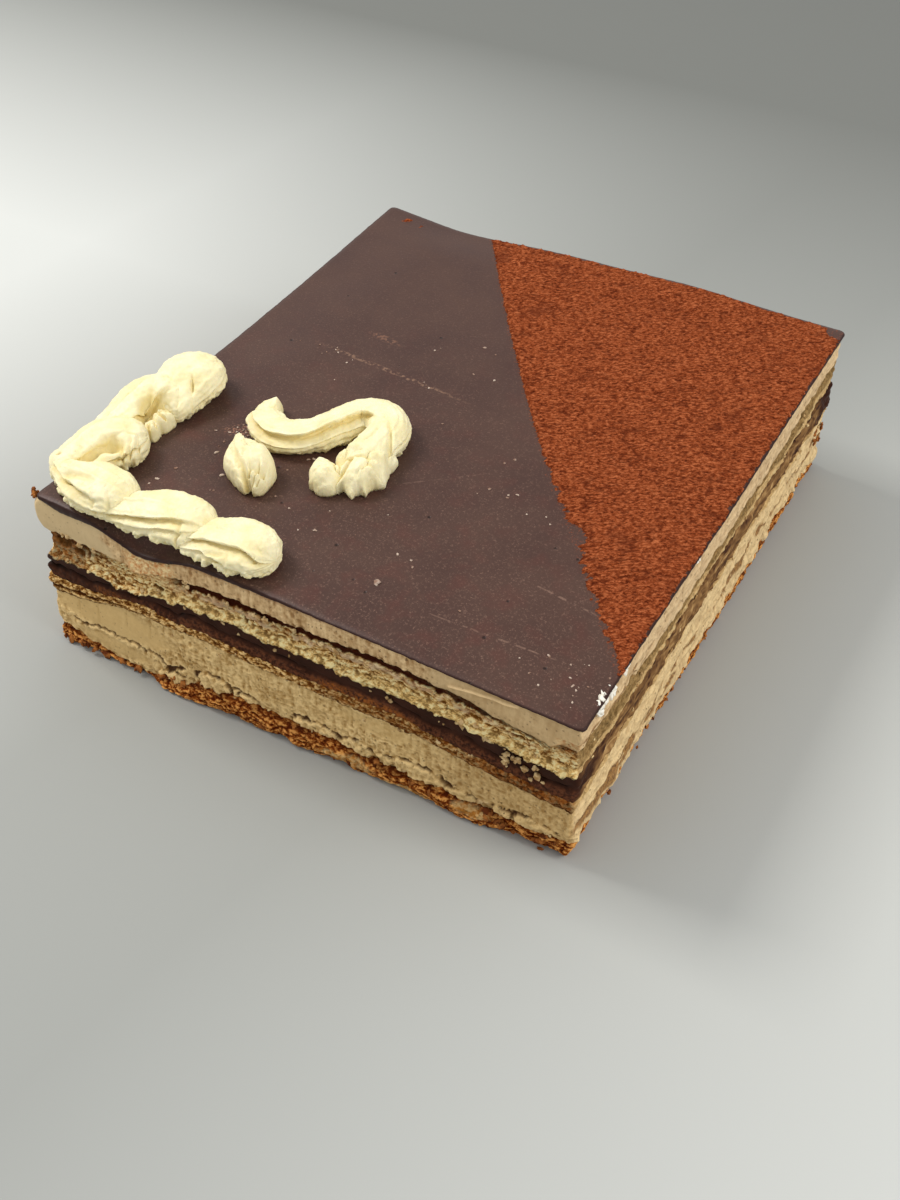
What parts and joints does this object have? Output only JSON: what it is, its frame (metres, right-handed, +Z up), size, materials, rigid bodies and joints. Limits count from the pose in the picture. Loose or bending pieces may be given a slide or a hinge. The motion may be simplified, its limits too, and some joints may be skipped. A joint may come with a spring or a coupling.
{
  "type": "opera cake",
  "caption": "Rectangular block of opera cake, cut to show layers of sponge, coffee cream and ganache, with a dark glaze, a cocoa-dusted corner and piped cream.",
  "frame": {"origin": "middle of the block's underside, on the flat face it rests on", "axes": "+Z up; -Y out of the layered cut face; +X out of the smeared side; +Y to the back"},
  "size_m": [0.2085, 0.2275, 0.0771],
  "materials": {
    "soaked_sponge": "matte, moist, open brown crumb",
    "sponge": "matte, dry golden crumb",
    "coffee_cream": "matte, knife-cut, slightly torn",
    "ganache": "satin, dark, smooth where cut",
    "glaze": "satin chocolate with faint pale specks",
    "cocoa": "powder, fully matte",
    "piped_cream": "smooth satin ivory cream"
  },
  "bodies": {
    "root": {"sponge_base": "soaked_sponge", "cream_lower": "coffee_cream", "sponge_middle": "sponge", "ganache": "ganache", "sponge_upper": "sponge", "cream_upper": "coffee_cream", "glaze": "glaze", "piped_shell_1": "piped_cream", "piped_shell_2": "piped_cream", "piped_shell_3": "piped_cream", "piped_shell_4": "piped_cream", "piped_shell_5": "piped_cream", "piped_shell_6": "piped_cream", "piped_hook": "piped_cream", "piped_drop": "piped_cream"}
  },
  "joints": []
}
